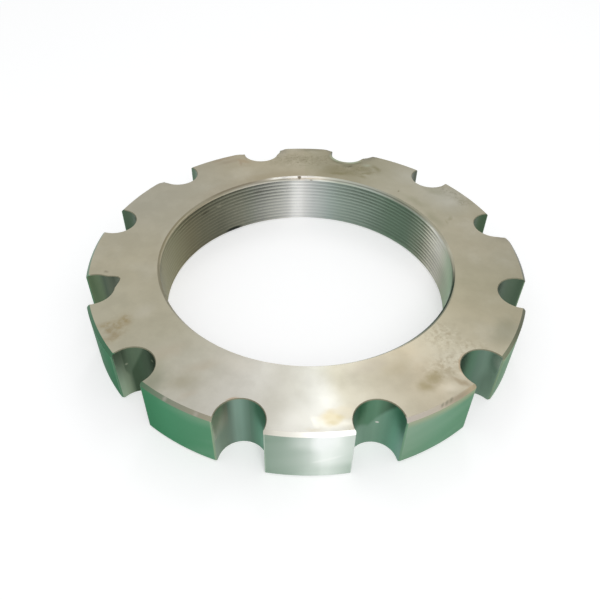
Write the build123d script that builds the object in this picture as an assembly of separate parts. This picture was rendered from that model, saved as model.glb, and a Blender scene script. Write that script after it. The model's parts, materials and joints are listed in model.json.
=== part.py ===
from build123d import *
import math
import os

# Adjusting nut: one turned and milled steel ring. Its bore takes a fine thread, and round
# notches across the rim take the pegs of a ring spanner or the tab of a lock plate.
# Millimetres. +Z is the thread's axis. The origin is the centre of the bottom face, and the
# middle of one tooth, between two notches, lies on +X.

# Blank
outside_diameter = 146.0
thickness = 20.0
rim_chamfer = 1.0

# Bore. The wall stands at the thread's minor diameter, and a cone at each mouth opens it to
# the thread's major diameter.
thread_diameter = 100.0
thread_pitch = 1.5
mouth_angle = 45.0

# Notches. Their mouth corners are rounded, and their edges on the two faces are broken.
notch_count = 12
notch_width = 14.0
notch_depth = 9.2
corner_radius = 0.4
edge_break = 0.25
edge_break_angle = 45.0

# Height of a metric thread's crests over its roots, for each millimetre of pitch
THREAD_HEIGHT = 5 / 16 * math.sqrt(3)

# Sizes that follow
rim_radius = outside_diameter / 2
mouth_radius = thread_diameter / 2
bore_radius = mouth_radius - THREAD_HEIGHT * thread_pitch
mouth_depth = (mouth_radius - bore_radius) / math.tan(math.radians(mouth_angle))
notch_end_radius = notch_width / 2
notch_end_centre = rim_radius - notch_depth + notch_end_radius
past_rim = rim_radius + notch_width
notch_places = PolarLocations(0, notch_count, start_angle=180 / notch_count)


def blank():
    """The ring as it leaves the lathe: one section, revolved about the thread's axis."""
    section = [
        (bore_radius, mouth_depth),
        (mouth_radius, 0),
        (rim_radius - rim_chamfer, 0),
        (rim_radius, rim_chamfer),
        (rim_radius, thickness - rim_chamfer),
        (rim_radius - rim_chamfer, thickness),
        (mouth_radius, thickness),
        (bore_radius, thickness - mouth_depth),
    ]
    return revolve(Plane.XZ * make_face(Polyline(*section, close=True)), Axis.Z)


def notch_outline():
    """One notch seen from above: a round end, and straight sides that run out past the rim."""
    middle = (notch_end_centre + past_rim) / 2
    sides = Pos(middle, 0) * Rectangle(past_rim - notch_end_centre, notch_width)
    return Pos(notch_end_centre, 0) * Circle(notch_end_radius) + sides


def rim_outline():
    """The rim seen from above: a disc less its notches, with the mouth corners rounded."""
    outline = Circle(rim_radius) - notch_places * notch_outline()
    corners = outline.vertices().filter_by(lambda v: v.center().length > rim_radius - corner_radius)
    return fillet(corners, corner_radius)


def edge_breaks():
    """Cutters that widen out of each notch, to break its edges on the top and bottom faces."""
    rise = 2 * edge_break
    spread = rise * math.tan(math.radians(edge_break_angle))
    low, high = notch_end_radius, notch_end_radius + spread
    end = Cone(low, high, rise, align=(Align.CENTER, Align.CENTER, Align.MIN))
    wedge = Polyline((-low, 0), (low, 0), (high, rise), (-high, rise), close=True)
    sides = extrude(Plane.YZ * make_face(wedge), past_rim - notch_end_centre)
    top = Pos(notch_end_centre, 0, thickness - edge_break) * (end + sides)
    bottom = mirror(top, Plane.XY.offset(thickness / 2))
    return notch_places * top + notch_places * bottom


def adjusting_nut():
    """The blank milled to the notched outline, with the notches' sharp edges broken."""
    milled = extrude(rim_outline(), thickness) - edge_breaks()
    return blank() & milled


os.makedirs("parts", exist_ok=True)
export_step(adjusting_nut(), "parts/adjusting_nut.step")
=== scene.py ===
import json
import math
from collections import namedtuple

import bmesh
import bpy
from mathutils import Matrix, Vector


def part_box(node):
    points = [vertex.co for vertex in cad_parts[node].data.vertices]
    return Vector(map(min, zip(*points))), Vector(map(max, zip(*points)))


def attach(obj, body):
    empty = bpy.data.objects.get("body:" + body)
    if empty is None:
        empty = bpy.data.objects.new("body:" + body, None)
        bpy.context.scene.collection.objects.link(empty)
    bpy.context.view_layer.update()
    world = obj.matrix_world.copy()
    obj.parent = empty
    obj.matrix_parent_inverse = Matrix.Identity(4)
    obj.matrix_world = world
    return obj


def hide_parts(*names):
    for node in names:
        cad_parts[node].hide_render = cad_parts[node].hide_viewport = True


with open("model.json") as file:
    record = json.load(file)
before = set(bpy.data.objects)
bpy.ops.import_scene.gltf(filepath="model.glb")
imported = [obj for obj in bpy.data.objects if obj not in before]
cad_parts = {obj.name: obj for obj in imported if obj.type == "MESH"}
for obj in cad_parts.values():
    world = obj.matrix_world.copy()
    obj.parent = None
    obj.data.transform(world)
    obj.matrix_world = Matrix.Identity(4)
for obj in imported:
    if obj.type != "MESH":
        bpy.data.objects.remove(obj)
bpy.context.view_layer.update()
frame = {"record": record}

# Adjusting nut: a ring of machined steel, threaded inside, with round notches across its rim.
# One closed mesh replaces the CAD solid, with the same outline and a real thread in the bore.
# Metres. +Z is the thread's axis, and the middle of one tooth lies on +X. An angle round the
# nut is in degrees from +X, so that the camera looks at the tooth at 270.

MM = 0.001

# Sizes that come with the frame
node_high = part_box("adjusting_nut")[1]
thread_mount = next(m for m in frame["record"]["mounts"] if m["kind"] == "threaded_hole")
RIM = node_high.x
THICKNESS = node_high.z
BORE = thread_mount["dims"]["r_mm"] * MM
MOUTH_DEPTH = (THICKNESS - thread_mount["dims"]["length_mm"] * MM) / 2
MOUTH = BORE + MOUTH_DEPTH

# Notches and edges, as in the part's source
NOTCHES = 12
NOTCH_HALF = 7.0 * MM
NOTCH_DEPTH = 9.2 * MM
CORNER = 0.4 * MM
CHAMFER = 1.0 * MM
BREAK = 0.25 * MM
NOTCH_CENTRE = RIM - NOTCH_DEPTH + NOTCH_HALF

# Thread: how far up the pitch each corner of its section lies, and how deep, from 0 at the
# crest to 1 at the root
PITCH = 1.5 * MM
THREAD_SECTION = [(0.00, 0.0), (0.16, 0.0), (0.21, 0.06), (0.51, 0.94),
                  (0.56, 1.0), (0.60, 1.0), (0.65, 0.94), (0.95, 0.06)]
THREAD_START = 0.93
RUN_OUT = 0.35 * MM
SPARE_TURNS = 3

# How finely the mesh is cut
FLOOR_STEPS = 10
CORNER_STEPS = 3
TOOTH_STEPS = 16
WALL_SHARES = (0.0, 0.08, 0.2, 0.4, 0.7, 1.0)
FACE_SHARES = (0.02, 0.3, 0.6, 0.8, 0.9, 0.96)
NOTCH_COLUMN_AT_BORE = math.radians(0.76)
SMOOTH_UNDER = math.radians(40)
WELD = 0.001 * MM

# Battered places on the top: where, how far they reach across and down, and how far the
# middle is pushed in, all in millimetres
Dent = namedtuple("Dent", "x y z across down push")
DENTS = [
    Dent(25.4, 68.0, 20, 4.4, 5.0, (0.2, -1.1, -1.0)),
    Dent(12.1, 71.2, 20, 3.5, 4.0, (0.1, -0.6, -0.4)),
    Dent(-12.0, 71.2, 20, 4.4, 6.0, (1.6, -0.2, -0.4)),
    Dent(-25.3, 67.8, 20, 3.5, 4.0, (0.3, -0.3, -0.3)),
    Dent(-55.8, 46.2, 20, 3.5, 4.0, (0.3, -0.4, -0.4)),
    Dent(71.3, 12.2, 20, 3.5, 4.0, (-0.1, -0.4, -0.4)),
    Dent(-62.6, -14.2, 20, 3.8, 14.0, (1.9, 1.5, 0.0)),
]

# Camera, fitted to the photo
CAMERA_PLACE = Vector((-4.96, -162.77, 150.95)) * MM
CAMERA_AIM = Vector((-2.08, -11.95, 10.0)) * MM
CAMERA_ROLL = math.radians(1.23)
CAMERA_LENS = 36.69
CAMERA_NEAREST = 10 * MM

# Floor and room light
FLOOR_HALF = 3.0
FLOOR_LEVEL = -0.05 * MM
FLOOR_COLOUR = (0.72, 0.72, 0.72)
FLOOR_GLOW = 0.42
ROOM_COLOUR = (0.98, 0.99, 1.0)
ROOM_STRENGTH = 0.62
WHITE = (1.0, 1.0, 1.0)

FACE, EDGE, RIM_WALL, NOTCH_WALL, THREAD = range(5)
Column = namedtuple("Column", "wall edge drop bore region")


def srgb(red, green, blue):
    """A colour as a photo shows it, 0 to 255, in the linear values that nodes take."""
    values = [c / 255 for c in (red, green, blue)]
    return tuple(c / 12.92 if c < 0.04045 else ((c + 0.055) / 1.055) ** 2.4 for c in values)


# The outline

def half_notch():
    """One half of a notch on +X, from the middle of its floor out to the rim, as pairs of a
    wall point and an edge point, with how far below the face the wall starts."""
    points = []
    for step in range(FLOOR_STEPS + 1):
        turn = math.pi - math.pi / 2 * step / FLOOR_STEPS
        way = Vector((math.cos(turn), math.sin(turn)))
        middle = Vector((NOTCH_CENTRE, 0))
        points.append((middle + way * NOTCH_HALF, middle + way * (NOTCH_HALF + BREAK), BREAK))
    edge_half = NOTCH_HALF + BREAK
    corner = Vector((math.sqrt((RIM - CHAMFER) ** 2 - edge_half**2), edge_half))
    meeting = math.sqrt((RIM - CHAMFER + BREAK) ** 2 - NOTCH_HALF**2)
    points.append((Vector((meeting, NOTCH_HALF)), corner, BREAK))
    round_half = NOTCH_HALF + CORNER
    centre = Vector((math.sqrt((RIM - CORNER) ** 2 - round_half**2), round_half))
    last = math.atan2(centre.y, centre.x)
    for step in range(CORNER_STEPS + 1):
        turn = -math.pi / 2 + (last + math.pi / 2) * step / CORNER_STEPS
        wall = centre + Vector((math.cos(turn), math.sin(turn))) * CORNER
        points.append((wall, corner, CHAMFER - (RIM - wall.length)))
    return points


def one_pitch():
    """The columns of a whole notch on +X, and of the tooth that follows it."""
    half = half_notch()
    flipped = [(Vector((w.x, -w.y)), Vector((e.x, -e.y)), d) for w, e, d in half[:0:-1]]
    notch = flipped + half
    columns = []
    for index, (wall, edge, drop) in enumerate(notch):
        bore = (index - len(flipped)) * NOTCH_COLUMN_AT_BORE
        at_corner = min(index, len(notch) - 2 - index) < CORNER_STEPS
        columns.append(Column(wall, edge, drop, bore, EDGE if at_corner else NOTCH_WALL))
    columns[-1] = columns[-1]._replace(region=RIM_WALL)
    start = math.atan2(notch[-1][0].y, notch[-1][0].x)
    span = math.tau / NOTCHES - 2 * start
    bore_start = len(flipped) * NOTCH_COLUMN_AT_BORE
    bore_span = math.tau / NOTCHES - 2 * bore_start
    for step in range(1, TOOTH_STEPS):
        share = (1 - math.cos(math.pi * step / TOOTH_STEPS)) / 2
        turn = start + span * share
        way = Vector((math.cos(turn), math.sin(turn)))
        bore = bore_start + bore_span * share
        columns.append(Column(way * RIM, way * (RIM - CHAMFER), CHAMFER, bore, RIM_WALL))
    return columns


def all_columns():
    """Every column round the nut, in order, starting at the notch after +X."""
    columns = []
    for notch in range(NOTCHES):
        turn = math.tau / NOTCHES * (notch + 0.5)
        spin = Matrix.Rotation(turn, 2)
        for column in one_pitch():
            wall, edge = spin @ column.wall, spin @ column.edge
            columns.append(column._replace(wall=wall, edge=edge, bore=column.bore + turn))
    return columns


# The mesh

def outer_section(column):
    """The section of one column from the top mouth of the bore, out over the rim and back to
    the bottom mouth, as points with the region of the strip that follows each."""
    mouth = Vector((math.cos(column.bore), math.sin(column.bore))) * MOUTH
    face = [mouth] + [mouth.lerp(column.edge, share) for share in FACE_SHARES]
    top = [((*p, THICKNESS), FACE) for p in face]
    top.append(((*column.edge, THICKNESS), EDGE))
    wall = []
    for share in WALL_SHARES:
        height = THICKNESS - column.drop - (THICKNESS - 2 * column.drop) * share
        wall.append(((*column.wall, height), column.region))
    wall[-1] = (wall[-1][0], EDGE)
    bottom = [((*column.edge, 0.0), FACE)]
    bottom += [((*p, 0.0), FACE) for p in reversed(face)]
    return top + wall + bottom


def thread_point(column, index):
    """A point of the thread: index counts the corners of its section upward from below the
    nut. Its grooves run out before the mouths, and past either mouth it lies on that mouth's
    ring."""
    turns, corner = divmod(index, len(THREAD_SECTION))
    up, depth = THREAD_SECTION[corner]
    height = PITCH * (turns - 1 + up + column.bore / math.tau - THREAD_START)
    height = min(max(height, 0.0), THICKNESS)
    inside = min(height, THICKNESS - height)
    depth *= min(max((inside - MOUTH_DEPTH) / RUN_OUT, 0.0), 1.0)
    radius = max(BORE + depth * (MOUTH - BORE), MOUTH - inside)
    return (radius * math.cos(column.bore), radius * math.sin(column.bore), height)


def strips(mesh, rows, lift=0):
    """Faces between neighbouring columns of points, closed round the nut. The last column
    meets the first one lift points further on."""
    for here, (points, regions) in enumerate(rows):
        last = here == len(rows) - 1
        other = rows[(here + 1) % len(rows)][0]
        shift = lift if last else 0
        for step in range(len(points) - 1):
            low = min(step + shift, len(points) - 1)
            high = min(step + 1 + shift, len(points) - 1)
            corners = [points[step], other[low], other[high], points[step + 1]]
            corners = list(dict.fromkeys(corners))
            if len(corners) > 2:
                mesh.faces.new(corners).material_index = regions[step]


def nut_mesh():
    """The whole nut: the outside and the thread, welded along the two mouths."""
    mesh = bmesh.new()
    columns = all_columns()
    outside = []
    inside = []
    corners = (math.ceil(THICKNESS / PITCH) + SPARE_TURNS) * len(THREAD_SECTION)
    for column in columns:
        section = outer_section(column)
        outside.append(([mesh.verts.new(p) for p, _ in section], [r for _, r in section]))
        climb = [mesh.verts.new(thread_point(column, i)) for i in range(corners)]
        inside.append((climb, [THREAD] * corners))
    strips(mesh, outside)
    strips(mesh, inside, lift=len(THREAD_SECTION))
    bmesh.ops.remove_doubles(mesh, verts=mesh.verts, dist=WELD)
    bmesh.ops.recalc_face_normals(mesh, faces=mesh.faces)
    batter(mesh)
    return mesh


def batter(mesh):
    """Push in the dents. Each move eases to nothing at the dent's edge."""
    for dent in DENTS:
        middle = Vector((dent.x, dent.y, dent.z)) * MM
        for vert in mesh.verts:
            away = (vert.co - middle) / MM
            reach = (away.x**2 + away.y**2) / dent.across**2 + away.z**2 / dent.down**2
            if reach < 1:
                vert.co += Vector(dent.push) * MM * (1 - reach) ** 2


def make_nut(materials):
    """The object that stands for the CAD solid."""
    mesh = bpy.data.meshes.new("nut_body")
    built = nut_mesh()
    built.to_mesh(mesh)
    built.free()
    for material in materials:
        mesh.materials.append(material)
    mesh.shade_smooth()
    mesh.set_sharp_from_angle(angle=SMOOTH_UNDER)
    nut = place_object("nut_body", mesh)
    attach(nut, "root")
    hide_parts("adjusting_nut")


# Materials

# Ramps by angle start at the back, at this angle, and end there a full turn on
TURN_START = 90
QUARTER_TURN = 0.25


def share_of_turn(angle):
    return (angle - TURN_START) / 360


def by_angle(*stops):
    """Ramp stops from pairs of an angle in degrees and a value, which is a tone or a number."""
    marks = []
    for angle, value in stops:
        colour = (value,) * 3 if isinstance(value, float) else srgb(*value)
        marks.append((share_of_turn(angle), colour))
    return marks


def all_round(*stops):
    """Ramp stops like those of by_angle, whose last one is the first again."""
    return by_angle(*stops, (TURN_START + 360, stops[0][1]))


# Tones round the nut. The photo's steel mirrors a green bench and a dim room, and those
# colours are painted here as reflections that lie on the part, with the lamps' highlights: the
# face's painted reflection with its painted highlight in front, the painted reflections and
# highlights of the chamfers and corners, and the green painted reflection of the rim. The rim's
# strength ramp says how strong that painted reflection is on the rim, and WALL_TOP how brown the
# top of the rim's wall is.
FACE_TONES = by_angle(
    (90, (186, 178, 155)), (112, (189, 180, 156)), (135, (195, 189, 169)), (160, (198, 193, 174)),
    (185, (212, 205, 180)), (210, (214, 208, 184)), (222, (214, 209, 186)), (236, (226, 222, 205)),
    (250, (226, 222, 211)), (256, (222, 219, 209)), (262, (196, 193, 182)), (270, (194, 193, 184)),
    (274, (201, 200, 189)), (278, (200, 196, 179)), (283, (195, 190, 173)), (292, (200, 192, 171)),
    (302, (219, 207, 181)), (314, (234, 226, 201)), (332, (204, 196, 169)), (345, (191, 185, 159)),
    (365, (190, 183, 160)), (385, (184, 178, 156)), (412, (178, 173, 153)), (427, (161, 156, 133)),
    (440, (162, 156, 133)), (450, (182, 175, 151)))
EDGE_TONES = all_round(
    (90, (190, 184, 160)), (112, (180, 176, 155)), (126, (150, 152, 130)), (150, (108, 130, 106)),
    (215, (84, 130, 100)), (229, (90, 134, 102)), (233, (124, 148, 122)), (240, (164, 168, 148)),
    (247, (184, 178, 157)), (249.5, (192, 185, 161)), (251, (190, 190, 165)), (259, (205, 200, 185)),
    (263, (246, 242, 228)), (272, (254, 252, 246)), (281, (252, 251, 246)), (289, (222, 212, 202)),
    (298, (226, 215, 196)), (304, (222, 208, 182)), (308, (222, 204, 170)), (312, (150, 150, 124)),
    (320, (152, 157, 131)), (325, (140, 145, 118)), (330, (108, 112, 90)), (345, (96, 98, 76)),
    (362, (90, 92, 72)), (380, (150, 146, 124)))
SIDE_TONES = all_round(
    (90, (96, 128, 104)), (216, (80, 126, 96)), (231, (110, 140, 112)), (248.5, (134, 160, 130)),
    (250, (144, 162, 134)), (259, (170, 186, 168)), (262, (170, 190, 175)), (278, (225, 232, 226)),
    (281, (200, 208, 200)), (289, (112, 150, 122)), (310, (116, 148, 122)), (320, (124, 146, 118)))
RIM_TONES = all_round(
    (90, (84, 140, 104)), (205, (28, 55, 39)), (225, (66, 110, 84)), (238, (88, 140, 110)),
    (249, (98, 146, 116)), (262, (92, 124, 100)), (290, (110, 144, 116)), (300, (98, 140, 112)),
    (309, (90, 130, 102)), (318, (112, 116, 99)), (335, (106, 104, 86)))
RIM_REFLECTION_STRENGTH = all_round(
    (90, 0.9), (195, 0.92), (206, 1.06), (232, 1.04), (244, 0.96), (255, 0.95), (261, 0.76), (264, 0.7),
    (267, 0.6), (269.5, 0.46), (271, 0.3), (272.2, 0.04), (274, 0.0), (275.5, 0.1), (277, 0.2), (279, 0.34),
    (280, 0.36), (290, 0.85), (320, 0.9))
WALL_TOP = all_round(
    (90, 0.2), (222, 0.02), (238, 0.02), (246, 0.12), (256, 0.1), (264, 0.0), (282, 0.0), (292, 0.7),
    (310, 0.8), (330, 0.4))

# Tones round each notch: the green painted reflection, with painted shade deep in the notches
# and painted light in upright bands. So much of a circle about its centre is stretched over its
# pitch that its wall runs from 11.6 degrees before the notch's own angle to 11.6 after it.
NOTCH_STRETCH = math.radians(270)
NOTCH_TONES = by_angle(
    (90, (92, 120, 96)), (135, (80, 104, 84)), (165, (72, 88, 70)), (184, (104, 124, 94)),
    (187.5, (98, 114, 90)), (188.4, (78, 90, 76)), (189.4, (100, 112, 94)), (190.4, (76, 84, 72)),
    (192, (100, 104, 92)), (206, (80, 110, 88)), (213, (156, 178, 154)), (216.2, (140, 156, 132)),
    (217.8, (66, 84, 64)), (236, (48, 72, 54)), (243.5, (120, 146, 122)), (248.5, (112, 130, 112)),
    (250.1, (108, 126, 113)), (251.4, (130, 155, 141)), (253.4, (124, 152, 138)), (255.4, (94, 122, 106)),
    (257.2, (86, 133, 109)), (259.2, (89, 151, 124)), (264, (86, 147, 118)), (278, (132, 168, 146)),
    (283, (117, 150, 130)), (286.5, (122, 154, 134)), (289, (108, 145, 124)), (292.3, (97, 149, 126)),
    (297, (88, 142, 124)), (311, (66, 86, 68)), (315.5, (70, 94, 74)), (318.5, (82, 118, 94)),
    (320.8, (105, 128, 114)), (326, (138, 166, 146)), (341, (74, 92, 74)), (350, (84, 99, 83)),
    (375, (80, 108, 82)), (382, (68, 90, 66)), (405, (74, 82, 66)))
# The upper left end of the notch at 255, lightened against the shade of its corner
NOTCH_255_UPPER = by_angle(
    (243, (226, 220, 198)), (246.5, (214, 208, 186)), (248.2, (170, 168, 148)), (249.3, (126, 128, 112)),
    (250, (116, 120, 106)))
# Painted shade in the upper part of the notch at 285, above a slanting edge
NOTCH_285_UPPER = by_angle(
    (280, (90, 136, 103)), (283, (86, 130, 98)), (285, (88, 131, 103)), (286.5, (98, 138, 112)),
    (288.5, (82, 116, 92)), (291, (62, 90, 70)), (294, (66, 98, 80)))

# Tones round the bore, with the room's reflections and the lamps' highlights painted in, among
# them the bright upright band at the back and the white patch at the right: those of its thread,
# how much its lower part is darkened, the upper and the lower half of the cone at its top mouth,
# and the strip below that cone. Then how far the thread's slopes show in the light, how strong
# the painted highlight and the painted shade are on the face's rim round the mouth, and how brown
# the face is near it.
BORE_TONES = all_round(
    (90, (238, 238, 236)), (92, (255, 255, 253)), (95, (252, 252, 250)), (98, (216, 216, 213)),
    (102, (194, 195, 190)), (106, (173, 174, 168)), (111, (151, 152, 146)), (116, (138, 141, 129)),
    (122, (132, 132, 116)), (132, (119, 119, 101)), (142, (126, 124, 102)), (152, (142, 137, 110)),
    (166, (170, 166, 134)), (180, (184, 180, 148)), (200, (150, 148, 130)), (270, (170, 170, 162)),
    (340, (164, 184, 161)), (352, (186, 212, 180)), (362, (208, 224, 198)), (368, (236, 240, 222)),
    (373, (255, 255, 246)), (379, (255, 255, 240)), (383, (200, 204, 184)), (387, (142, 160, 138)),
    (396, (113, 136, 116)), (408, (115, 140, 120)), (416, (131, 151, 136)), (425, (147, 164, 152)),
    (433, (160, 175, 165)), (438, (176, 189, 183)), (446, (212, 216, 214)))
BORE_LOW = all_round(
    (90, 0.0), (160, 0.0), (200, 0.3), (350, 0.2), (368, 0.5), (378, 0.5), (388, 0.3), (396, 0.0))
MOUTH_UPPER = all_round(
    (90, (160, 157, 153)), (93, (146, 144, 140)), (96, (139, 137, 133)), (100, (146, 144, 140)),
    (104, (220, 218, 208)), (108, (190, 182, 164)), (116, (165, 154, 134)), (131, (160, 150, 128)),
    (142, (183, 176, 153)), (156, (172, 162, 134)), (175, (166, 156, 128)), (200, (190, 182, 156)),
    (230, (210, 205, 188)), (270, (225, 220, 200)), (288, (170, 176, 158)), (305, (110, 122, 104)),
    (322, (66, 84, 68)), (344, (66, 84, 68)), (354, (196, 190, 166)), (364, (226, 222, 200)),
    (370, (202, 198, 178)), (379, (198, 192, 165)), (385, (196, 192, 170)), (391, (187, 184, 160)),
    (403, (178, 178, 156)), (419, (205, 206, 191)), (434, (217, 219, 203)), (443, (238, 232, 218)),
    (447, (186, 182, 174)))
MOUTH_LOWER = all_round(
    (90, (143, 136, 124)), (96, (121, 116, 106)), (100, (122, 117, 106)), (104, (158, 152, 136)),
    (110, (178, 171, 153)), (116, (195, 187, 170)), (131, (182, 174, 152)), (142, (190, 181, 156)),
    (156, (214, 205, 176)), (175, (206, 197, 168)), (200, (186, 178, 152)), (230, (210, 205, 188)),
    (270, (225, 220, 200)), (288, (150, 156, 138)), (305, (90, 104, 86)), (322, (58, 76, 60)),
    (344, (58, 76, 60)), (354, (176, 172, 148)), (364, (220, 217, 196)), (370, (216, 213, 194)),
    (379, (214, 212, 196)), (385, (190, 190, 171)), (391, (157, 158, 138)), (403, (136, 139, 122)),
    (419, (155, 160, 147)), (434, (176, 176, 162)), (443, (212, 202, 184)), (447, (176, 166, 148)))
MOUTH_STRIP = by_angle(
    (90, (232, 224, 212)), (96, (222, 217, 204)), (100, (210, 208, 196)), (104, (215, 212, 200)),
    (116, (210, 204, 190)), (131, (188, 181, 159)), (142, (176, 166, 142)), (156, (146, 138, 110)),
    (172, (168, 159, 131)), (200, (150, 148, 130)), (340, (150, 165, 145)), (355, (170, 176, 154)),
    (364, (222, 222, 202)), (371, (255, 255, 244)), (381, (255, 255, 246)), (386, (200, 204, 190)),
    (391, (168, 174, 161)), (403, (160, 162, 147)), (419, (187, 196, 187)), (434, (200, 206, 188)),
    (443, (250, 250, 240)), (447, (224, 222, 210)), (450, (225, 222, 215)))
THREAD_CONTRAST = all_round(
    (90, 0.3), (110, 0.4), (125, 0.25), (140, 0.12), (155, 0.05), (200, 0.2), (330, 0.06), (356, 0.02),
    (370, 0.05), (376, 0.15), (383, 0.3), (390, 0.26), (397, 0.08), (404, 0.02), (411, 0.08), (420, 0.3),
    (440, 0.3))
MOUTH_HIGHLIGHT = all_round(
    (90, 0.8), (98, 0.8), (104, 0.6), (109, 0.0), (150, 0.0), (425, 0.0), (437, 0.3), (443, 0.5),
    (447, 0.8))
MOUTH_SHADE = all_round((90, 0.0), (298, 0.0), (308, 0.6), (318, 0.85), (330, 0.85), (340, 0.3), (346, 0.0))
FACE_INNER = all_round(
    (90, 0.26), (104, 0.28), (120, 0.24), (136, 0.22), (150, 0.06), (165, 0.0), (172, 0.08), (185, 0.1),
    (205, 0.0), (422, 0.0), (436, 0.06))

# The thread's lines, painted shade in its grooves: where up the pitch a groove is dark, and how
# dark it is round the bore in the upper half, in the lower half and at least near the top mouth.
# Then how much painted light fills the grooves that are darker than in the photo by themselves,
# and how strong the painted highlight on the crests is.
GROOVE = [(up, (dark,) * 3) for up, dark in ((0.0, 0.0), (0.26, 0.0), (0.4, 1.0), (0.66, 1.0), (0.9, 0.0))]
LINES_HIGH = all_round(
    (90, 0.07), (93, 0.1), (97, 0.2), (102, 0.3), (107, 0.4), (111, 0.38), (116, 0.3), (122, 0.2),
    (132, 0.13), (144, 0.12), (154, 0.05), (200, 0.1), (330, 0.1), (364, 0.02), (372, 0.04), (376, 0.12),
    (381, 0.48), (386, 0.5), (391, 0.26), (396, 0.08), (402, 0.0), (408, 0.03), (413, 0.16), (418, 0.32),
    (426, 0.28), (433, 0.1), (440, 0.05))
LINES_LOW = all_round(
    (90, 0.06), (93, 0.08), (97, 0.1), (102, 0.1), (107, 0.02), (111, 0.0), (122, 0.02), (132, 0.06),
    (140, 0.02), (200, 0.05), (330, 0.05), (364, 0.02), (371, 0.1), (376, 0.28), (381, 0.46), (386, 0.4),
    (391, 0.1), (396, 0.0), (402, 0.0), (410, 0.03), (418, 0.14), (426, 0.14), (433, 0.03), (440, 0.04))
LINES_TOP = all_round((90, 0.0), (112, 0.0), (120, 0.5), (130, 0.5), (145, 0.5), (156, 0.3), (166, 0.0))
GROOVE_FILL = all_round(
    (90, 0.0), (108, 0.0), (122, 0.035), (140, 0.036), (155, 0.016), (200, 0.0), (388, 0.0), (396, 0.04),
    (402, 0.05), (410, 0.04), (416, 0.0))
CREST_SHINE = all_round(
    (90, 0.05), (97, 0.15), (107, 0.2), (118, 0.08), (135, 0.04), (150, 0.0), (364, 0.0), (371, 0.4),
    (378, 0.45), (384, 0.3), (391, 0.08), (400, 0.0), (412, 0.05), (430, 0.05))

# Noise on the steel: how fine it is, how many octaves it has, how rough they are, and its seed
Noise = namedtuple("Noise", "scale detail roughness seed")
CLOUDS = Noise(28, 4, 0.55, 3.1)
PALE_CLOUDS = Noise(60, 4, 0.6, 8.4)
SMALL_CLOUDS = Noise(120, 5, 0.62, 7.7)
GRAIN = Noise(900, 3, 0.6, 1.7)
SPECKS = Noise(640, 3, 0.6, 2.9)
MOTTLE = Noise(260, 5, 0.68, 4.4)
PITS = Noise(850, 3, 0.6, 6.6)
LATHE_MARKS = Noise(1.0, 2, 0.6, 5.0)
# Slanting streaks in the rim's painted reflection and highlight
REFLECTION_STREAKS = Noise(1.0, 2, 0.45, 2.0)
MILL_MARKS = Noise(300, 3, 0.5, 6.0)
# Patches in the grooves' painted shade and the crests' painted highlight
PATCHY_LINES = Noise(1.0, 3, 0.6, 9.0)
GRAIN_STRETCH = (0.75, 1.0, 1.0)
MILL_STRETCH = (1.0, 1.0, 0.08)
# How the slanting streaks of the rim's painted reflection are drawn out, tilted and how strong
STREAK_STRETCH = (12.0, 12.0, 120.0)
STREAK_SLOPE = -0.32
STREAK_STRENGTH = 0.3
RAGGED_REACH = 1.6 * MM
RAGGED_SCALE = 260
GRAIN_BUMP = 0.006 * MM
LATHE_BUMP = 0.003 * MM
MILL_BUMP = 0.008 * MM

# What noise paints: a tone, how strong it is, and the noise at which it starts and is full
Layer = namedtuple("Layer", "tone strength low high")
CLOUDED = Layer((176, 165, 140), 0.22, 0.38, 0.66)
PALE_CLOUDED = Layer((226, 224, 212), 0.2, 0.48, 0.72)
SMALL_CLOUDED = Layer((140, 134, 108), 0.14, 0.36, 0.64)
WORN = Layer((170, 152, 118), 0.42, 0.46, 0.62)
FLECKED = Layer((240, 234, 214), 0.4, 0.48, 0.64)
PITTED = Layer((112, 106, 80), 0.5, 0.53, 0.66)
STREAKED = Layer((70, 100, 80), 0.15, 0.4, 0.7)

# Other tones that are laid over the painted reflections
MOTTLE_TONE = (128, 122, 94)
OCHRE_TONE = (170, 148, 98)
NOTCH_EDGE_TONE = (158, 156, 134)
RIM_TOP_TONE = (186, 176, 152)
# The lit part above the painted slanting shadow in the notch at 225
NOTCH_225_UPPER = (94, 112, 91)
BORE_FOOT_TONE = (128, 128, 108)
# Painted shade of the grooves, painted light that fills them, and a painted highlight on crests
GROOVE_SHADE_TONE = (46, 46, 36)
FILL_TONE = (236, 244, 226)
CREST_TONE = (246, 244, 226)
# Near-white steel where the rim's green painted reflection thins: its painted highlight in front
PALE_STEEL_HIGHLIGHT = srgb(248, 250, 247)
# A green tint of the rim's reflections at a glance, a painted reflection of the green bench
GREEN_REFLECTION_TINT = (0.45, 0.75, 0.55)
SATIN = 0.36

# Where the rim's green painted reflection is stronger or weaker in front, round its painted
# highlight: the angles where it starts and ends, how soft each end is, how far below the top it
# starts and is full, and by how much
ReflectionArea = namedtuple("ReflectionArea", "start start_soft end end_soft edge full change")
REFLECTION_AREAS = [
    ReflectionArea(271, 1.5, 281, 1.0, 12, 16, 0.2),
    ReflectionArea(266.5, 2.0, 276.5, 1.5, 8, 4, -0.16),
]

# Slanting shadows in two notches: the angle of a V's point, its height in millimetres, and how
# many millimetres its arms rise for each degree past the point and before it
Vee = namedtuple("Vee", "angle low rise rise_before")
VEE_225 = Vee(217.2, 8.5, 2.2, 2.2)
VEE_285 = Vee(285.2, 8.6, 1.65, 0.6)
VEE_SOFT = 1.2 * MM

# Rings on the face round the bore: how far from its mouth they start and are full, in
# millimetres, their tone, and how strong it is round the nut
Ring = namedtuple("Ring", "start full tone strength")
BROWN_RING = Ring(7.5, 1.0, (150, 132, 98), FACE_INNER)
# A painted highlight on the face's rim round the mouth, and painted shade on it at the front right
MOUTH_RINGS = [
    Ring(0.4, 0.15, (255, 254, 246), MOUTH_HIGHLIGHT),
    Ring(0.5, 0.25, (122, 128, 112), MOUTH_SHADE),
]
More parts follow.
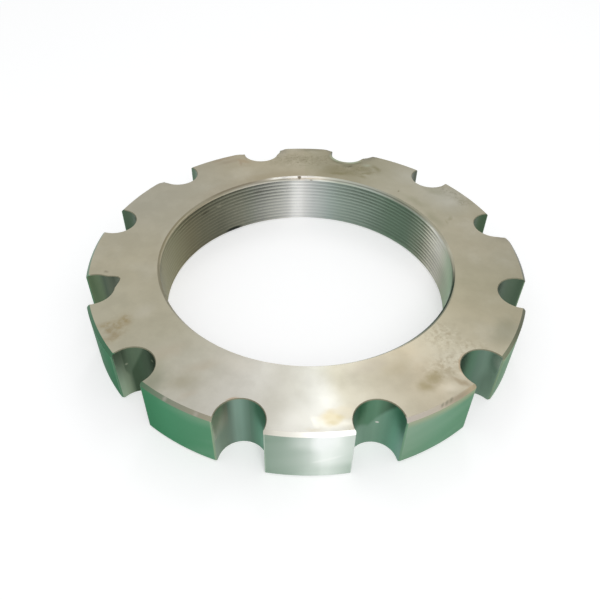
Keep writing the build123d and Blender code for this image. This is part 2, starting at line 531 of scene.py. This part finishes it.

# Patches of tone, each a stain, a painted highlight or painted shade: a tone, how strong it is,
# how much of each oval is full, and the ovals, each with the values of Oval: a centre, half sizes
# and a turn, and a height and half a height where they matter, in millimetres and degrees. First
# the marks of handling on the face, with painted highlights at its front and painted shade along
# its back edge.
TonePatch = namedtuple("TonePatch", "tone strength ovals core", defaults=(0,))
Oval = namedtuple("Oval", "x y long wide turn z high", defaults=(0, 0, 1000))
FACE_STAINS_AND_SHADING = [
    TonePatch((130, 124, 90), 0.5, [(12, 55, 9, 6, 10), (24, 56, 9, 5, -25), (17, 53, 9, 4)]),
    TonePatch((124, 118, 78), 0.5, [(29, 56.5, 1.6, 4, 20), (25, 52.5, 5, 1.4, 15), (13, 52.6, 5, 1.6),
                                (23, 50, 3, 1.5, -20)], 0.1),
    TonePatch((110, 112, 88), 0.5, [(14, 61, 5, 1.5, -30), (21, 60.5, 5, 1.6, 5),
                                (17.5, 58.6, 4.0, 2.4, -14)], 0.1),
    TonePatch((178, 184, 162), 0.45, [(25.5, 58.5, 3, 1.8)], 0.2),
    TonePatch((150, 148, 122), 0.45, [(47, 22.5, 9, 3, 115), (41.5, 33.5, 9, 3, 130), (50, 40, 7, 3, 140)]),
    TonePatch((150, 144, 116), 0.45, [(53, 22, 2.2, 1.0, 60), (51.6, 19.6, 2.4, 0.8, 100)]),
    TonePatch((160, 146, 104), 0.62, [(32.2, -56.8, 3.8, 3.4, 30), (34.6, -53.6, 5, 3.2, 45)]),
    TonePatch((178, 166, 136), 0.35, [(40, -51, 6, 2.4, 20), (24.5, -50, 7, 4.5, 20)]),
    TonePatch((172, 152, 120), 0.6, [(42.3, -55.2, 5.0, 1.3, -34)]),
    TonePatch((246, 236, 214), 0.6, [(43.6, -52.6, 5.5, 1.6, -38), (38.4, -57.0, 4.5, 2.6, 20)]),
    TonePatch((176, 152, 118), 0.45, [(-25, 61, 5, 2.2, -20)]),
    TonePatch((160, 144, 124), 0.4, [(-31, 60.5, 7, 2, 25)]),
    TonePatch((188, 186, 158), 0.4, [(-43, -50, 7, 4, 60)]),
    TonePatch((126, 136, 106), 0.46, [(-43.6, -56.4, 9.5, 6.5, 62)]),
    TonePatch((166, 156, 122), 0.4, [(-34.0, -56.0, 7.5, 5.0, 15)]),
    TonePatch((204, 190, 166), 0.35, [(-40.5, -45, 9, 4, 30), (-30, -50, 8, 3, 20), (-33, -60.5, 5, 2.2, 30)]),
    TonePatch((228, 222, 204), 0.4, [(-50, -28, 6, 4, 40), (46, -46, 6, 3, 50)]),
    TonePatch((240, 234, 220), 0.4, [(-21.0, -48.6, 9, 4.5, -24)]),
    TonePatch((172, 164, 150), 0.5, [(17.5, -49.6, 9, 4.5, 19)]),
    TonePatch((144, 146, 122), 0.36, [(59.0, -35.8, 9.5, 6.0, 60)], 0.2),
    # Painted shade along the back edge of the face
    TonePatch((122, 118, 98), 0.5, [(2.5, 71.0, 9, 2.2)]),
    TonePatch((166, 140, 116), 0.4, [(-34, 62.0, 7, 1.6, 29), (-26.5, 59.5, 3.4, 1.2, -80)]),
    TonePatch((96, 84, 58), 0.7, [(18.2, 58.2, 1.4, 0.7), (36.2, 40.0, 0.8, 0.7)], 0.1),
    TonePatch((120, 108, 84), 0.4, [(-66, -10, 1.2, 0.8, 30)], 0.1),
    # A yellowish mark at the front, its tones lit by the painted highlight it lies in
    TonePatch((248, 242, 224), 0.4, [(4.6, -68.2, 4.4, 3.0, 14)], 0.4),
    TonePatch((212, 203, 180), 0.6, [(8.4, -65.9, 4.8, 3.2, 24)], 0.4),
    TonePatch((222, 211, 178), 0.75, [(5.9, -67.7, 3.9, 2.6, 16)], 0.35),
    TonePatch((206, 192, 150), 0.45, [(8.0, -67.0, 1.3, 1.9, -20), (5.8, -69.0, 2.8, 1.0, 10)], 0.1),
    TonePatch((206, 196, 172), 0.5, [(1.0, -70.9, 4.0, 0.9)]),
    TonePatch((212, 196, 152), 0.4, [(3.6, -66.9, 2.8, 2.2, 20), (5.2, -65.6, 3.6, 1.5, 14)]),
    # Painted white highlight round the yellowish mark
    TonePatch((255, 252, 238), 0.45, [(8.9, -69.2, 4.2, 2.0, 6), (1.2, -68.3, 1.5, 2.6, 24)]),
]

# Broad pale areas of the face, under its mottling, and the painted highlight of its front
PALE_AREAS = [
    TonePatch((212, 212, 204), 0.36, [(53.5, 36, 17, 12, 125)]),
    TonePatch((200, 200, 190), 0.25, [(43, 50, 12, 8, -48)]),
]
SHEEN = [
    TonePatch((255, 253, 246), 0.38, [(-1.0, -70.0, 16, 11)]),
    TonePatch((255, 255, 250), 0.34, [(4.2, -63.0, 14.5, 7.5, 109)]),
    TonePatch((255, 255, 250), 0.14, [(4.8, -62.5, 12, 5.0, 110), (5.0, -71.5, 11, 5.0)]),
]

# The scorched place at the left, and where the face is coarse, mottled or rolled at its edge
OCHRE = [(-57, -36, 8.5, 5.5, 70), (-57.5, -39, 5, 4, 40), (-55, -32.5, 4.5, 3, 70), (-60, -35, 4, 3)]
SCORCHED = [
    TonePatch((160, 134, 90), 0.4, [(-57.2, -38.9, 3.4, 2.6, 30), (-58.6, -36.4, 3.0, 2.0, 80)]),
    TonePatch((176, 156, 114), 0.3, [(-55.6, -34.0, 5.0, 3.4, 60)]),
]
COARSE = [(40, -38, 11, 9, -50), (39, -49, 13, 7, 35), (47, -43, 9, 6)]
MOTTLED = [(-1, 63, 24, 9), (56, 40, 12, 5, -50), (20, 56, 14, 8), (61, 33, 6, 4)]
LIP = [(13.5, 64, 6, 6), (20, 60.5, 6, 4)]
RUSTY = [(45, -50, 9, 5, -60), (-21, -61, 3, 2)]

# Marks in the bore, with a painted shadow at its foot and torn ridges painted lit and shaded,
# burrs and bright nicks on the edges, painted highlights on the rim, and marks in notches, with
# a pale painted reflection high in the notch at 315 and its lower part darker
BORE_MARKS_AND_SHADING = [
    TonePatch((70, 62, 50), 0.95, [(-2.2, 50, 1.05, 1.8, 0, 19.8, 1.3)], 0.4),
    TonePatch((112, 96, 70), 0.85, [(2.6, 50, 1.1, 1.4, 0, 18.6, 0.9)], 0.3),
    # A painted shadow at the foot of the bore
    TonePatch((52, 58, 52), 0.95, [(-28.6, 40.0, 5.0, 2.5, 35.6, 0.6, 1.3)], 0.5),
    TonePatch((84, 84, 70), 0.5, [(-18.7, 45.5, 4.0, 2.0, 22, 15.2, 1.0)], 0.1),
    # Torn thread ridges, painted as lit ridges and their shade
    TonePatch((176, 172, 150), 0.5, [(-39.0, 30.0, 2.2, 2.0, 52, 15.4, 0.5),
                                 (-36.0, 33.6, 1.6, 2.0, 48, 15.2, 0.45),
                                 (-33.4, 36.2, 2.0, 2.0, 43, 14.6, 0.5)]),
    TonePatch((70, 68, 54), 0.5, [(-38.0, 31.3, 3.0, 2.0, 52, 14.7, 0.5),
                              (-34.0, 35.6, 2.6, 2.0, 44, 14.0, 0.5)]),
]
BURRS = [
    TonePatch((140, 140, 116), 0.6, [(36.9, -62.1, 0.6, 1.4, -38), (38.2, -61.2, 0.6, 1.5, -38),
                                 (35.6, -62.9, 0.5, 1.1, -38)]),
    TonePatch((150, 136, 112), 0.4, [(41.0, -59.8, 7.0, 1.2, 34)]),
    TonePatch((206, 200, 186), 0.7, [(-29.8, -66.2, 1.1, 1.0), (-38.6, -61.2, 1.1, 0.9)]),
]
# Painted highlights on the front tooth's rim: a slanting streak low down and a broad white zone
RIM_HIGHLIGHT = [
    TonePatch((255, 255, 253), 0.7, [(5.0, -72.4, 5.2, 3.0, 0, 7.2, 1.0)], 0.1),
    TonePatch((255, 255, 255), 0.9, [(3.8, -72.4, 4.6, 3.0, 0, 16.0, 7.0)], 0.2),
]
NOTCH_MARKS_AND_SHADING = [
    # A pale painted reflection high in the notch at 315, and its lower part darker
    TonePatch((214, 228, 212), 0.75, [(55.9, -46.3, 3.4, 3.4, 0, 18.5, 5.5)], 0.2),
    TonePatch((80, 100, 84), 0.5, [(54.6, -44.9, 4.5, 4.5, 0, 5.5, 9.0)], 0.3),
    TonePatch((214, 212, 204), 0.9, [(19.2, -61.5, 0.75, 0.75, 0, 9.9, 0.5)], 0.3),
    TonePatch((170, 176, 150), 0.8, [(-25.2, -66.8, 0.7, 1.0, 0, 9.7, 0.8)], 0.2),
    TonePatch((176, 186, 160), 0.7, [(-45.3, -45.0, 0.8, 0.8, 0, 16.1, 0.7),
                                 (-53.4, -43.9, 0.7, 0.8, 0, 13.5, 0.6)], 0.1),
]

# Marks beside the notches: where, how far from a notch's wall they start and are full, in
# millimetres, their tone, and how strong it is. The first two are painted shade under a worn lip
# and a painted green reflection on its rolled edge; the last is rust.
EdgeMark = namedtuple("EdgeMark", "ovals start full tone strength")
NOTCH_EDGE_MARKS_AND_SHADING = [
    EdgeMark(LIP, 3.4, 1.5, (126, 122, 94), 0.5),
    EdgeMark(LIP, 1.5, 1.1, (178, 190, 164), 0.75),
    EdgeMark(RUSTY, 0.9, 0.4, (196, 160, 118), 0.7),
]


class Nodes:
    """A node tree, with short calls for the kinds of node used here."""

    def __init__(self, tree):
        self.tree = tree

    def node(self, kind, feeds=(), **settings):
        """A new node. feeds has what its sockets get, in their order, or by name or number."""
        made = self.tree.nodes.new("ShaderNode" + kind)
        for name, value in settings.items():
            setattr(made, name, value)
        for socket, value in feeds.items() if isinstance(feeds, dict) else enumerate(feeds):
            self.feed(made.inputs[socket], value)
        return made

    def feed(self, socket, value):
        """Link a socket to a node's output, or set its value."""
        if isinstance(value, bpy.types.NodeSocket):
            self.tree.links.new(value, socket)
        elif socket.type == "RGBA" and len(value) == 3:
            socket.default_value = (*value, 1.0)
        else:
            socket.default_value = value

    def maths(self, operation, *values):
        return self.node("Math", values, operation=operation).outputs[0]

    def times(self, product, *values):
        for value in values:
            product = self.maths("MULTIPLY", product, value)
        return product


class Surface(Nodes):
    """A new material."""

    def __init__(self, name):
        self.material = bpy.data.materials.new(name)
        self.material.use_nodes = True
        super().__init__(self.material.node_tree)

    def give(self, feeds):
        """Set or link sockets of the material's shader, by their names."""
        shader = self.tree.nodes["Principled BSDF"]
        for name, value in feeds.items():
            self.feed(shader.inputs[name], value)
        return self.material


class Steel(Surface):
    """Bare steel with the shine of a turned surface: its marks run round the nut, and lay says
    how far they draw a highlight out across them. turn is how far round the nut the place is, as
    a share of a turn from TURN_START on."""

    def __init__(self, name, roughness, lay):
        super().__init__(name)
        self.place = self.node("TexCoord").outputs["Object"]
        self.x, self.y, self.z = self.node("SeparateXYZ", [self.place]).outputs
        level = self.vector("MULTIPLY", self.place, (1.0, 1.0, 0.0))
        self.radius = self.vector("LENGTH", level)
        self.outward = self.vector("NORMALIZE", level)
        turn = self.maths("ARCTAN2", self.x, self.times(self.y, -1.0))
        self.turn = self.maths("MULTIPLY_ADD", turn, 1 / math.tau, 0.5)
        around = self.node("Tangent", direction_type="RADIAL", axis="Z")
        self.give({"Metallic": 1.0, "Roughness": roughness, "Anisotropic": lay,
                   "Anisotropic Rotation": QUARTER_TURN, "Tangent": around.outputs[0]})

    def vector(self, operation, *values):
        made = self.node("VectorMath", values, operation=operation)
        return made.outputs["Value" if operation == "LENGTH" else "Vector"]

    def point(self, *values):
        return self.node("CombineXYZ", values).outputs[0]

    def scaled(self, place, scale):
        return self.node("Mapping", {"Vector": place, "Scale": scale}).outputs[0]

    def noise(self, place, kind):
        feeds = {"Vector": place, "W": kind.seed, "Scale": kind.scale, "Detail": kind.detail,
                 "Roughness": kind.roughness}
        return self.node("TexNoise", feeds, noise_dimensions="4D").outputs["Fac"]

    def mix(self, share, first, second):
        feeds = {"Factor": share, 6: first, 7: second}
        return self.node("Mix", feeds, data_type="RGBA").outputs[2]

    def tint(self, colour, tone, *shares):
        """The colour with a tone laid over it, as strong as the product of the shares."""
        return self.mix(self.times(*shares), colour, srgb(*tone))

    def lay(self, colour, layer, noise, *shares):
        """The colour with a layer's tone laid over it where the noise is high."""
        share = self.band(noise, layer.low, layer.high)
        return self.tint(colour, layer.tone, share, *shares, layer.strength)

    def band(self, value, low, high, floor=0.0, ceiling=1.0):
        """value from low to high, eased to run from floor to ceiling."""
        feeds = (value, low, high, floor, ceiling)
        return self.node("MapRange", feeds, interpolation_type="SMOOTHSTEP").outputs["Result"]

    def below_top(self, start, full, ceiling=1.0):
        """0 at start millimetres below the top face, eased to the ceiling at full."""
        return self.band(self.z, THICKNESS - start * MM, THICKNESS - full * MM, 0.0, ceiling)

    def past(self, turn, angle, soft):
        """1 where turn is past the angle, eased over soft degrees on each side of it."""
        return self.band(turn, share_of_turn(angle - soft), share_of_turn(angle + soft))

    def ramp(self, value, stops):
        made = self.node("ValToRGB", [value])
        marks = made.color_ramp.elements
        while len(marks) < len(stops):
            marks.new(1.0)
        for mark, (place, colour) in zip(marks, stops):
            mark.position = place
            mark.color = (*colour, 1.0)
        return made.outputs["Color"]

    def around(self, stops):
        """A ramp by angle round the nut."""
        return self.ramp(self.turn, stops)

    def long_ramp(self, value, stops):
        """A ramp of more stops than one node holds, made of two that meet at one stop."""
        middle = len(stops) // 2
        low = self.ramp(value, stops[:middle + 1])
        high = self.ramp(value, stops[middle:])
        return self.mix(self.maths("GREATER_THAN", value, stops[middle][0]), low, high)

    def warped(self, reach, scale):
        """The place on the part, pushed about by noise, to give a patch a ragged outline."""
        noise = self.node("TexNoise", {"Vector": self.place, "Scale": scale})
        push = self.vector("SUBTRACT", noise.outputs["Color"], (0.5, 0.5, 0.5))
        push = self.vector("MULTIPLY", push, (2 * reach, 2 * reach, 0.0))
        return self.vector("ADD", self.place, push)

    def patch(self, place, oval, core):
        """1 over the core of an oval, eased to 0 at its edge. A gradient measures how far in the
        place lies, as it takes the mapping's point as it is. A length would make the renderer
        hold the points of all ovals at once, and it has no room for them."""
        feeds = {"Vector": place, "Location": Vector((oval.x, oval.y, oval.z)) * MM,
                 "Rotation": (0.0, 0.0, math.radians(oval.turn)),
                 "Scale": Vector((oval.long, oval.wide, oval.high)) * MM}
        mapping = self.node("Mapping", feeds, vector_type="TEXTURE")
        inward = self.node("TexGradient", [mapping.outputs[0]], gradient_type="SPHERICAL")
        return self.band(inward.outputs["Fac"], 0.0, 1.0 - core)

    def patches(self, place, ovals, core=0.0):
        """1 over any of the ovals."""
        total = self.patch(place, Oval(*ovals[0]), core)
        for oval in ovals[1:]:
            total = self.maths("MAXIMUM", total, self.patch(place, Oval(*oval), core))
        return total

    def paint(self, colour, stains, place):
        # Each patch is a stain, a painted highlight or painted shade
        for stain in stains:
            share = self.patches(place, stain.ovals, stain.core)
            colour = self.tint(colour, stain.tone, share, stain.strength)
        return colour

    def ring(self, colour, ring):
        """The colour with a ring laid over it, round the mouth of the bore."""
        near = self.band(self.radius, MOUTH + ring.start * MM, MOUTH + ring.full * MM)
        return self.tint(colour, ring.tone, near, self.around(ring.strength))

    def from_notch(self):
        """How many pitches round the place lies, and how far from the centre of the nearest
        notch's arc, to the side and inward."""
        pitches = self.times(self.turn, NOTCHES)
        off_middle = self.maths("SUBTRACT", self.maths("FRACT", pitches), 0.5)
        angle = self.times(off_middle, math.tau / NOTCHES)
        aside = self.times(self.radius, self.maths("SINE", angle))
        out = self.times(self.radius, self.maths("COSINE", angle))
        return pitches, aside, self.maths("SUBTRACT", NOTCH_CENTRE, out)

    def beside_notch(self):
        """How far the place is from the nearest notch's wall."""
        _, aside, inward = self.from_notch()
        squares = self.maths("ADD", self.times(aside, aside), self.times(inward, inward))
        return self.maths("SUBTRACT", self.maths("SQRT", squares), NOTCH_HALF)

    def round_notches(self):
        """Like turn, but each notch's wall is stretched over most of its pitch."""
        pitches, aside, inward = self.from_notch()
        turn = self.maths("ARCTAN2", aside, inward)
        share = self.maths("MULTIPLY_ADD", turn, 1 / NOTCH_STRETCH, 0.5)
        return self.maths("DIVIDE", self.maths("ADD", self.maths("FLOOR", pitches), share), NOTCHES)

    def above_vee(self, turn, vee):
        """1 above a V on a notch's wall."""
        off = self.maths("SUBTRACT", turn, share_of_turn(vee.angle))
        after = self.times(off, 360 * vee.rise * MM)
        before = self.times(off, -360 * vee.rise_before * MM)
        edge = self.maths("ADD", self.maths("MAXIMUM", after, before), vee.low * MM)
        return self.band(self.maths("SUBTRACT", self.z, edge), -VEE_SOFT, VEE_SOFT)

    def up_thread(self):
        """How far up its pitch the place lies, 0 at a crest, as in THREAD_SECTION."""
        climb = self.maths("SUBTRACT", self.maths("DIVIDE", self.z, PITCH), self.turn)
        return self.maths("FRACT", self.maths("ADD", climb, THREAD_START - QUARTER_TURN))

    def rings(self, along, across, scale):
        """A place for noise that is drawn out round the nut, with no seam."""
        lift = self.point(0.0, 0.0, self.times(across, scale))
        return self.vector("MULTIPLY_ADD", self.outward, (along, along, 0.0), lift)

    def flattened(self, share):
        """The true normal where share is 1, and that of a smooth bore where it is 0."""
        inward = self.vector("MULTIPLY", self.outward, (-1.0, -1.0, 0.0))
        smooth = self.node("VectorTransform", [inward], vector_type="NORMAL",
                           convert_from="OBJECT", convert_to="WORLD").outputs[0]
        true = self.node("NewGeometry").outputs["Normal"]
        step = self.vector("MULTIPLY", self.vector("SUBTRACT", true, smooth), share)
        return self.vector("NORMALIZE", self.vector("ADD", smooth, step))

    def bump(self, height, depth, under=None):
        feeds = {"Distance": depth, "Height": height}
        if under:
            feeds["Normal"] = under
        return self.node("Bump", feeds).outputs["Normal"]


def face_steel():
    """The two faces: satin, warm grey, clouded, with the stains and grain of handling, a painted
    reflection by angle and a painted highlight in front.
    """
    steel = Steel("faced_steel", SATIN, lay=0.55)
    place = steel.place
    ragged = steel.warped(RAGGED_REACH, RAGGED_SCALE)
    cloud_noise = steel.noise(place, CLOUDS)
    # The face's tones by angle: its painted reflection, with a painted highlight in front
    colour = steel.lay(steel.around(FACE_TONES), CLOUDED, cloud_noise)
    colour = steel.lay(colour, PALE_CLOUDED, steel.noise(place, PALE_CLOUDS))
    colour = steel.paint(colour, PALE_AREAS, ragged)
    colour = steel.lay(colour, SMALL_CLOUDED, steel.noise(place, SMALL_CLOUDS))
    grain = steel.noise(steel.scaled(place, GRAIN_STRETCH), GRAIN)
    specks = steel.noise(place, SPECKS)
    coarse = steel.patches(ragged, COARSE)
    colour = steel.lay(colour, WORN, specks, coarse)
    colour = steel.lay(colour, FLECKED, grain, coarse)
    mottle = steel.times(steel.band(steel.noise(place, MOTTLE), 0.38, 0.6), 0.6)
    specked = steel.times(steel.band(specks, 0.42, 0.62), 0.5)
    both = steel.maths("ADD", mottle, specked)
    mottled = steel.patches(ragged, MOTTLED)
    colour = steel.tint(colour, MOTTLE_TONE, mottled, both, 0.46)
    colour = steel.lay(colour, PITTED, steel.noise(place, PITS), mottled)
    colour = steel.tint(colour, OCHRE_TONE, steel.patches(ragged, OCHRE), both, 0.66)
    colour = steel.paint(colour, SCORCHED, ragged)
    colour = steel.ring(colour, BROWN_RING)
    # The painted highlight on the front of the face
    colour = steel.paint(colour, SHEEN, place)
    # Stains, with painted highlights at the front and painted shade along the back edge
    colour = steel.paint(colour, FACE_STAINS_AND_SHADING, ragged)
    colour = steel.paint(colour, BURRS, place)
    beside = steel.beside_notch()
    # Painted shade and reflection of a worn lip beside a notch, and rust
    for mark in NOTCH_EDGE_MARKS_AND_SHADING:
        near = steel.band(beside, mark.start * MM, mark.full * MM)
        colour = steel.tint(colour, mark.tone, near, steel.patches(place, mark.ovals), mark.strength)
    # The painted highlight and the painted shade round the mouth
    for ring in MOUTH_RINGS:
        colour = steel.ring(colour, ring)
    clouds = steel.band(cloud_noise, CLOUDED.low, CLOUDED.high)
    lathe = steel.noise(steel.rings(2, across=steel.radius, scale=5000), LATHE_MARKS)
    return steel.give({"Base Color": colour, "Roughness": steel.band(clouds, 0.0, 1.0, 0.33, 0.42),
                       "Normal": steel.bump(grain, GRAIN_BUMP, under=steel.bump(lathe, LATHE_BUMP))})


def edge_steel():
    """The chamfers, the broken edges and the rounded corners between rim and notches, with painted
    reflections and highlights by angle, white on the front chamfer.
    """
    steel = Steel("chamfered_steel", SATIN, lay=0.4)
    in_notch = steel.band(steel.radius, RIM - 1.1 * MM, RIM - 1.8 * MM)
    # The chamfers' tones by angle are painted reflections, with a painted highlight in front
    level = steel.tint(steel.around(EDGE_TONES), NOTCH_EDGE_TONE, in_notch)
    level = steel.paint(level, BURRS, steel.place)
    # The corners and lower edges, with the green painted reflection and a painted highlight in front
    colour = steel.mix(steel.below_top(0.9, 1.5), level, steel.around(SIDE_TONES))
    return steel.give({"Base Color": colour, "Roughness": steel.band(in_notch, 0.0, 1.0, SATIN, 0.75)})


def rim_steel():
    """The turned rim between the notches, with a green painted reflection that gives way to a
    painted highlight in front.
    """
    steel = Steel("rim_steel", SATIN, lay=0.6)
    # Slanting streaks that make the green painted reflection uneven
    sheared = steel.point(steel.x, steel.y, steel.maths("MULTIPLY_ADD", steel.x, STREAK_SLOPE, steel.z))
    streaks = steel.noise(steel.scaled(sheared, STREAK_STRETCH), REFLECTION_STREAKS)
    uneven = steel.times(steel.maths("SUBTRACT", streaks, 0.5), STREAK_STRENGTH)
    strength = steel.maths("ADD", steel.around(RIM_REFLECTION_STRENGTH), uneven)
    for area in REFLECTION_AREAS:
        within = steel.maths("SUBTRACT", steel.past(steel.turn, area.start, area.start_soft),
                             steel.past(steel.turn, area.end, area.end_soft))
        within = steel.times(within, steel.below_top(area.edge, area.full))
        strength = steel.maths("MULTIPLY_ADD", within, area.change, strength)
    # The green painted reflection, giving way to the pale painted highlight where it thins
    colour = steel.mix(strength, PALE_STEEL_HIGHLIGHT, steel.around(RIM_TONES))
    # Painted highlights on the front of the rim
    colour = steel.paint(colour, RIM_HIGHLIGHT, sheared)
    colour = steel.tint(colour, RIM_TOP_TONE, steel.below_top(4.5, 1.0), steel.around(WALL_TOP))
    return steel.give({"Base Color": colour, "Specular Tint": GREEN_REFLECTION_TINT})


def notch_steel():
    """The milled notches: the same green painted reflection, darker with painted shade, in soft
    upright bands, and with painted slanting shadows.
    """
    steel = Steel("notch_steel", SATIN, lay=0.0)
    turn = steel.round_notches()
    colour = steel.long_ramp(turn, NOTCH_TONES)
    # The upper left end of the notch at 255, lightened against its shade
    before_end = steel.maths("SUBTRACT", 1.0, steel.past(turn, 249.8, 0.3))
    brown_end = steel.times(before_end, steel.past(turn, 241, 0.5), steel.below_top(13, 4))
    colour = steel.mix(brown_end, colour, steel.ramp(turn, NOTCH_255_UPPER))
    # Above a slanting edge, the notch at 225 is painted lighter and that at 285 painted darker
    pale = steel.above_vee(turn, VEE_225)
    colour = steel.tint(colour, NOTCH_225_UPPER, pale, 0.8, steel.past(turn, 216.2, 0.2))
    dark = steel.times(steel.above_vee(turn, VEE_285), steel.past(turn, 281.3, 0.8))
    colour = steel.mix(dark, colour, steel.ramp(turn, NOTCH_285_UPPER))
    marks = steel.noise(steel.scaled(steel.place, MILL_STRETCH), MILL_MARKS)
    colour = steel.lay(colour, STREAKED, marks)
    # Marks in the notches, with a painted reflection and a darker lower part in the notch at 315
    colour = steel.paint(colour, NOTCH_MARKS_AND_SHADING, steel.place)
    return steel.give({"Base Color": colour, "Normal": steel.bump(marks, MILL_BUMP)})


def thread_steel():
    """The thread, with painted shade dark in its grooves and a painted highlight on its crests, and
    the cone at its top mouth, painted with highlights and shade by angle.
    """
    steel = Steel("thread_steel", 0.34, lay=0.7)
    # Tones by angle with painted reflections and highlights, darker towards the foot
    colour = steel.tint(steel.around(BORE_TONES), BORE_FOOT_TONE, steel.around(BORE_LOW),
                        steel.below_top(5, 13))
    groove = steel.ramp(steel.up_thread(), GROOVE)
    patchy = steel.noise(steel.rings(240, across=steel.z, scale=1100), PATCHY_LINES)
    uneven = steel.band(patchy, 0.32, 0.6, 0.45, 1.3)
    high = steel.below_top(13, 5)
    lines = steel.mix(high, steel.around(LINES_LOW), steel.around(LINES_HIGH))
    at_top = steel.times(steel.below_top(6.5, 3.0), steel.around(LINES_TOP))
    lines = steel.maths("MAXIMUM", lines, at_top)
    # Painted shade in the grooves, painted light filling them, and a painted highlight on the crests
    colour = steel.tint(colour, GROOVE_SHADE_TONE, groove, lines, uneven)
    colour = steel.tint(colour, FILL_TONE, groove, steel.around(GROOVE_FILL))
    shine = steel.times(steel.around(CREST_SHINE), uneven)
    colour = steel.tint(colour, CREST_TONE, steel.maths("SUBTRACT", 1.0, groove), shine)
    # The strip under the cone and the cone, painted with highlights and shade by angle
    strip = steel.below_top(1.62, 1.4, ceiling=0.9)
    colour = steel.mix(strip, colour, steel.around(MOUTH_STRIP))
    upper = steel.below_top(0.58, 0.38)
    cone = steel.mix(upper, steel.around(MOUTH_LOWER), steel.around(MOUTH_UPPER))
    in_mouth = steel.below_top(0.95, 0.75)
    # Marks in the bore, with a painted shadow at its foot and torn ridges painted lit and shaded
    colour = steel.paint(steel.mix(in_mouth, colour, cone), BORE_MARKS_AND_SHADING, steel.place)
    calm = steel.maths("MULTIPLY_ADD", high, 0.4, 0.6)
    contrast = steel.times(steel.around(THREAD_CONTRAST), calm)
    normal = steel.flattened(steel.maths("MAXIMUM", contrast, in_mouth))
    return steel.give({"Base Color": colour, "Normal": normal})


# Studio

def place_object(name, data):
    """A new object in the scene."""
    made = bpy.data.objects.new(name, data)
    bpy.context.scene.collection.objects.link(made)
    return made


def make_floor():
    """A wide white floor that keeps the nut's soft shadow. It glows a little where it is seen
    straight, in metal or through glass."""
    mesh = bpy.data.meshes.new("floor")
    ways = ((-1, -1), (1, -1), (1, 1), (-1, 1))
    corners = [(x * FLOOR_HALF, y * FLOOR_HALF, FLOOR_LEVEL) for x, y in ways]
    mesh.from_pydata(corners, [], [(0, 1, 2, 3)])
    place_object("floor", mesh)
    surface = Surface("white_floor")
    rays = surface.node("LightPath").outputs
    seen = surface.maths("MAXIMUM", rays["Is Camera Ray"], rays["Is Glossy Ray"])
    seen = surface.maths("MAXIMUM", seen, rays["Is Transmission Ray"])
    mesh.materials.append(surface.give({
        "Base Color": FLOOR_COLOUR, "Roughness": 0.9, "Specular IOR Level": 0.0,
        "Emission Color": WHITE, "Emission Strength": surface.times(seen, FLOOR_GLOW)}))


def make_world():
    """An even pale room light, white where the camera looks past the floor."""
    world = bpy.data.worlds.new("studio")
    bpy.context.scene.world = world
    world.use_nodes = True
    studio = Nodes(world.node_tree)
    light = studio.tree.nodes["Background"]
    studio.feed(light.inputs["Color"], ROOM_COLOUR)
    studio.feed(light.inputs["Strength"], ROOM_STRENGTH)
    white = studio.node("Background", {"Color": WHITE, "Strength": 1.0})
    seen = studio.node("LightPath").outputs["Is Camera Ray"]
    mixed = studio.node("MixShader", (seen, light.outputs[0], white.outputs[0]))
    studio.feed(studio.tree.nodes["World Output"].inputs["Surface"], mixed.outputs[0])


def make_lamp(name, place, aim, size, brightness):
    """A soft rectangular lamp. brightness is that of its face, where white paper in full
    light is 1."""
    lamp = bpy.data.lights.new(name, "AREA")
    lamp.shape = "RECTANGLE"
    lamp.size, lamp.size_y = size
    lamp.energy = brightness * math.pi * size[0] * size[1]
    made = place_object(name, lamp)
    made.location = place
    made.rotation_euler = (Vector(aim) - Vector(place)).to_track_quat("-Z", "Y").to_euler()


def make_lamps():
    """A narrow high lamp in front, for the bright band in the bore and the sheen of the front
    tooth, and one behind, that the front of the top face reflects."""
    make_lamp("key_lamp", place=(0.11, -0.46, 0.73), aim=(0, 0, 0), size=(0.12, 0.7), brightness=8.0)
    make_lamp("back_lamp", place=(0.07, 0.52, 0.68), aim=(0, -0.05, 0.02), size=(0.16, 0.3), brightness=2.7)


def make_camera():
    """The photo's camera. It is tipped by the roll about its own line of sight."""
    data = bpy.data.cameras.new("camera")
    data.lens = CAMERA_LENS
    data.clip_start = CAMERA_NEAREST
    camera = place_object("camera", data)
    level = (CAMERA_AIM - CAMERA_PLACE).to_track_quat("-Z", "Y").to_matrix().to_4x4()
    tipped = level @ Matrix.Rotation(CAMERA_ROLL, 4, "Z")
    camera.matrix_world = Matrix.Translation(CAMERA_PLACE) @ tipped
    bpy.context.scene.camera = camera


make_floor()
make_world()
make_lamps()
make_camera()
make_nut([face_steel(), edge_steel(), rim_steel(), notch_steel(), thread_steel()])
bpy.context.scene.view_settings.view_transform = "Standard"
